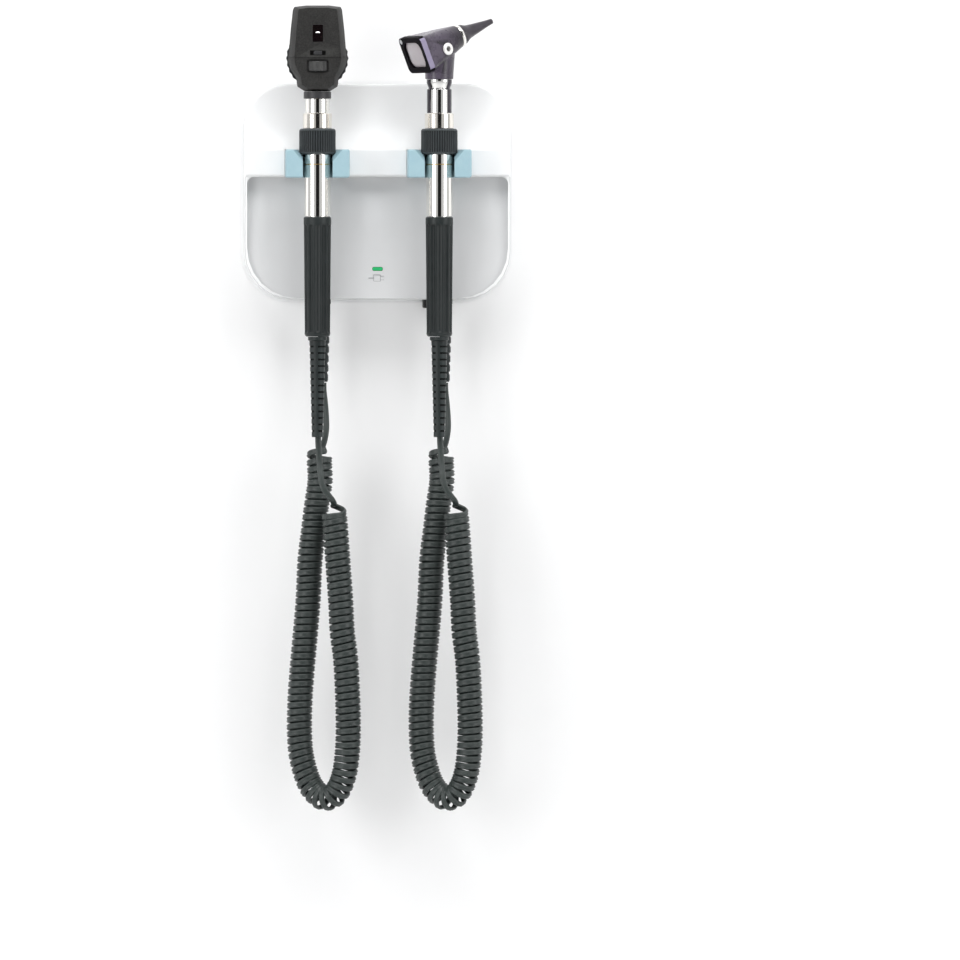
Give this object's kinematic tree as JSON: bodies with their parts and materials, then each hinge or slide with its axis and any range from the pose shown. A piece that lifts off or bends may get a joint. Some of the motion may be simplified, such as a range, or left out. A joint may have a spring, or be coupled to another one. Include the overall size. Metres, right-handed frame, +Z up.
{
  "type": "wall-mounted otoscope set",
  "caption": "Wall transformer unit with fork cradles holding an otoscope and an ophthalmoscope on handles with dimmer collars and curly cords.",
  "frame": {"origin": "middle of the back plate's wall face", "axes": "+Z up, +Y into the wall, the set faces -Y, +X to the viewer's right"},
  "size_m": [0.2384, 0.1002, 0.7068],
  "materials": {
    "white_housing": "satin white moulded plastic",
    "blue_cradle": "pale blue moulded plastic",
    "green_light": "green translucent lens",
    "circuit_board": "green laminate",
    "steel": "plain steel",
    "copper": "enamelled copper winding",
    "black_gloss": "glossy black plastic",
    "chrome": "bright chrome plating",
    "nickel": "satin nickel plating",
    "ceramic": "ceramic resistance core",
    "brass": "plain brass",
    "dark_rubber": "matt dark grey rubberised plastic",
    "cord": "satin dark grey cord jacket",
    "lamp_glass": "clear lamp glass on a metal base",
    "lens_glass": "clear magnifying lens",
    "light_guide": "fibre bundle",
    "dark_speculum": "satin black plastic",
    "grey_speckled": "matt dark grey textured plastic",
    "wheel_black": "satin black plastic",
    "window_glass": "dark clear window"
  },
  "bodies": {
    "wall_unit": {"back_plate": "white_housing", "front_cover": "white_housing", "status_light": "green_light", "circuit_board": "circuit_board", "transformer_core": "steel", "transformer_winding": "copper", "mains_inlet": "black_gloss", "otoscope_cradle": "blue_cradle", "otoscope_cord_gland": "dark_rubber", "otoscope_cord_wall_tail": "cord", "otoscope_cord_coil": "cord", "ophthalmoscope_cradle": "blue_cradle", "ophthalmoscope_cord_gland": "dark_rubber", "ophthalmoscope_cord_wall_tail": "cord", "ophthalmoscope_cord_coil": "cord"},
    "otoscope_handle": {"otoscope_barrel": "chrome", "otoscope_dimmer_core": "ceramic", "otoscope_neck": "nickel", "otoscope_bayonet": "nickel", "otoscope_contact_pin": "brass", "otoscope_contact_spring": "steel", "otoscope_grip": "dark_rubber", "otoscope_strain_relief": "dark_rubber", "otoscope_cord_handle_tail": "cord"},
    "otoscope_dimmer": {"otoscope_dimmer_collar": "dark_rubber"},
    "ophthalmoscope_handle": {"ophthalmoscope_barrel": "chrome", "ophthalmoscope_dimmer_core": "ceramic", "ophthalmoscope_neck": "nickel", "ophthalmoscope_bayonet": "nickel", "ophthalmoscope_contact_pin": "brass", "ophthalmoscope_contact_spring": "steel", "ophthalmoscope_grip": "dark_rubber", "ophthalmoscope_strain_relief": "dark_rubber", "ophthalmoscope_cord_handle_tail": "cord"},
    "ophthalmoscope_dimmer": {"ophthalmoscope_dimmer_collar": "dark_rubber"},
    "otoscope_head": {"otoscope_head_socket": "chrome", "otoscope_head_shell": "black_gloss", "otoscope_lens_pivot": "steel", "otoscope_insufflation_port": "chrome", "otoscope_specula_ring": "chrome", "otoscope_speculum_holder": "black_gloss", "otoscope_light_guide": "light_guide", "otoscope_lamp": "lamp_glass", "otoscope_lamp_contact": "brass"},
    "otoscope_lens_swing": {"otoscope_lens_frame": "black_gloss", "otoscope_lens": "lens_glass"},
    "otoscope_tip": {"otoscope_speculum": "dark_speculum"},
    "ophthalmoscope_head": {"ophthalmoscope_head_socket": "chrome", "ophthalmoscope_head_collar": "black_gloss", "ophthalmoscope_front_shell": "grey_speckled", "ophthalmoscope_rear_shell": "grey_speckled", "ophthalmoscope_wheel_axle": "steel", "ophthalmoscope_window": "window_glass", "ophthalmoscope_mirror": "chrome", "ophthalmoscope_lamp": "lamp_glass", "ophthalmoscope_brow_rest": "dark_rubber"},
    "ophthalmoscope_wheel": {"ophthalmoscope_lens_wheel": "wheel_black"},
    "ophthalmoscope_dial": {"ophthalmoscope_aperture_dial": "dark_rubber"},
    "ophthalmoscope_filter": {"ophthalmoscope_filter_slide": "wheel_black"}
  },
  "joints": [
    {"name": "otoscope_lift_out", "type": "slide", "parent": "wall_unit", "child": "otoscope_handle", "axis": [0, -0.7071, 0.7071], "range_m": [0, 0.06]},
    {"name": "otoscope_dimmer_turn", "type": "hinge", "parent": "otoscope_handle", "child": "otoscope_dimmer", "pos_m": [0.0535, -0.069, 0.0435], "axis": [0, 0, 1], "range_deg": [0, 130]},
    {"name": "otoscope_head_twist", "type": "hinge", "parent": "otoscope_handle", "child": "otoscope_head", "pos_m": [0.0535, -0.069, 0.0732], "axis": [0, 0, 1], "range_deg": [0, 30]},
    {"name": "ophthalmoscope_lift_out", "type": "slide", "parent": "wall_unit", "child": "ophthalmoscope_handle", "axis": [0, -0.7071, 0.7071], "range_m": [0, 0.06]},
    {"name": "ophthalmoscope_dimmer_turn", "type": "hinge", "parent": "ophthalmoscope_handle", "child": "ophthalmoscope_dimmer", "pos_m": [-0.0535, -0.069, 0.0435], "axis": [0, 0, 1], "range_deg": [0, 130]},
    {"name": "ophthalmoscope_head_twist", "type": "hinge", "parent": "ophthalmoscope_handle", "child": "ophthalmoscope_head", "pos_m": [-0.0535, -0.069, 0.0732], "axis": [0, 0, 1], "range_deg": [0, 30]},
    {"name": "otoscope_lens_swing_aside", "type": "hinge", "parent": "otoscope_head", "child": "otoscope_lens_swing", "pos_m": [0.02242, -0.06502, 0.13204], "axis": [-0.8333, -0.4065, -0.3746], "range_deg": [0, 90]},
    {"name": "otoscope_speculum_twist", "type": "hinge", "parent": "otoscope_head", "child": "otoscope_tip", "pos_m": [0.0735, -0.05924, 0.13759], "axis": [0.8333, 0.4065, 0.3746], "range_deg": [0, 45]},
    {"name": "ophthalmoscope_lens_wheel_turn", "type": "hinge", "parent": "ophthalmoscope_head", "child": "ophthalmoscope_wheel", "pos_m": [-0.0535, -0.06465, 0.1166], "axis": [0, -1, 0], "continuous": true},
    {"name": "ophthalmoscope_aperture_dial_turn", "type": "hinge", "parent": "ophthalmoscope_head", "child": "ophthalmoscope_dial", "pos_m": [-0.0535, -0.0775, 0.1095], "axis": [0, 0, 1], "continuous": true},
    {"name": "ophthalmoscope_filter_travel", "type": "slide", "parent": "ophthalmoscope_head", "child": "ophthalmoscope_filter", "axis": [1, 0, 0], "range_m": [-0.003, 0.003]}
  ]
}
